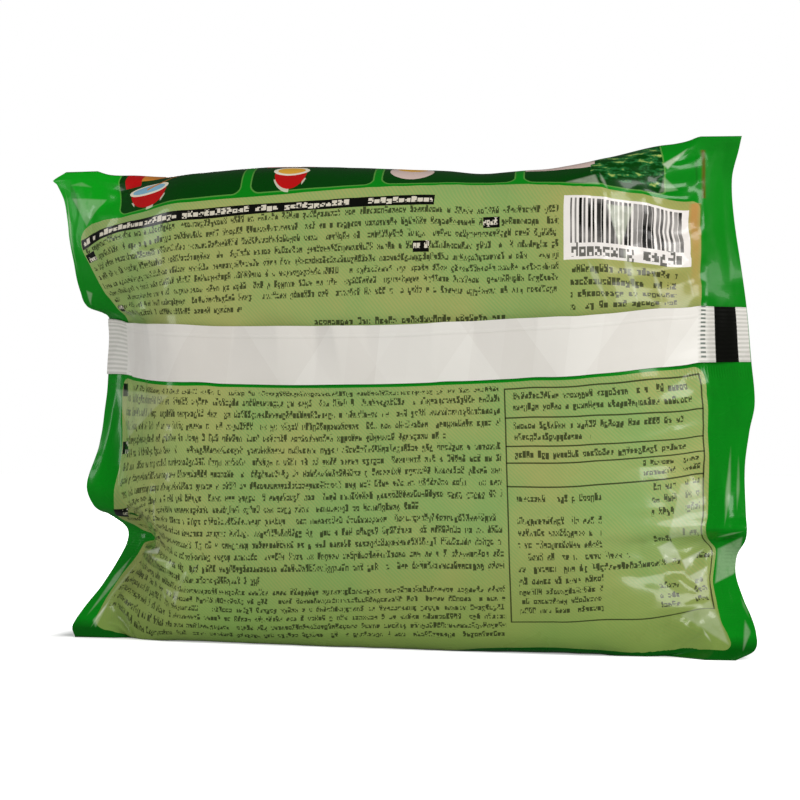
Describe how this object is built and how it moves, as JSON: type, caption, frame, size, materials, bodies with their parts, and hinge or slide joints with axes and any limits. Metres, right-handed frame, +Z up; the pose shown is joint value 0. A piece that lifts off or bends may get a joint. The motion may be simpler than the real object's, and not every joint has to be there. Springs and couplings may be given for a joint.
{
  "type": "instant noodle packet",
  "caption": "Shut pillow packet of instant noodles: printed film round a flat block, crimped end seals, back fin seal folded up; stands on its long side.",
  "frame": {"origin": "on the ground under the middle of the packet's bounding box", "axes": "+X along the packet between its end seals, +Y from the back with the fin to the front, +Z up"},
  "size_m": [0.1742, 0.0338, 0.116],
  "materials": {
    "film": "glossy printed packaging film in bright green with a pale olive panel and a white band"
  },
  "bodies": {
    "root": {"noodle_packet": "film"}
  },
  "joints": []
}
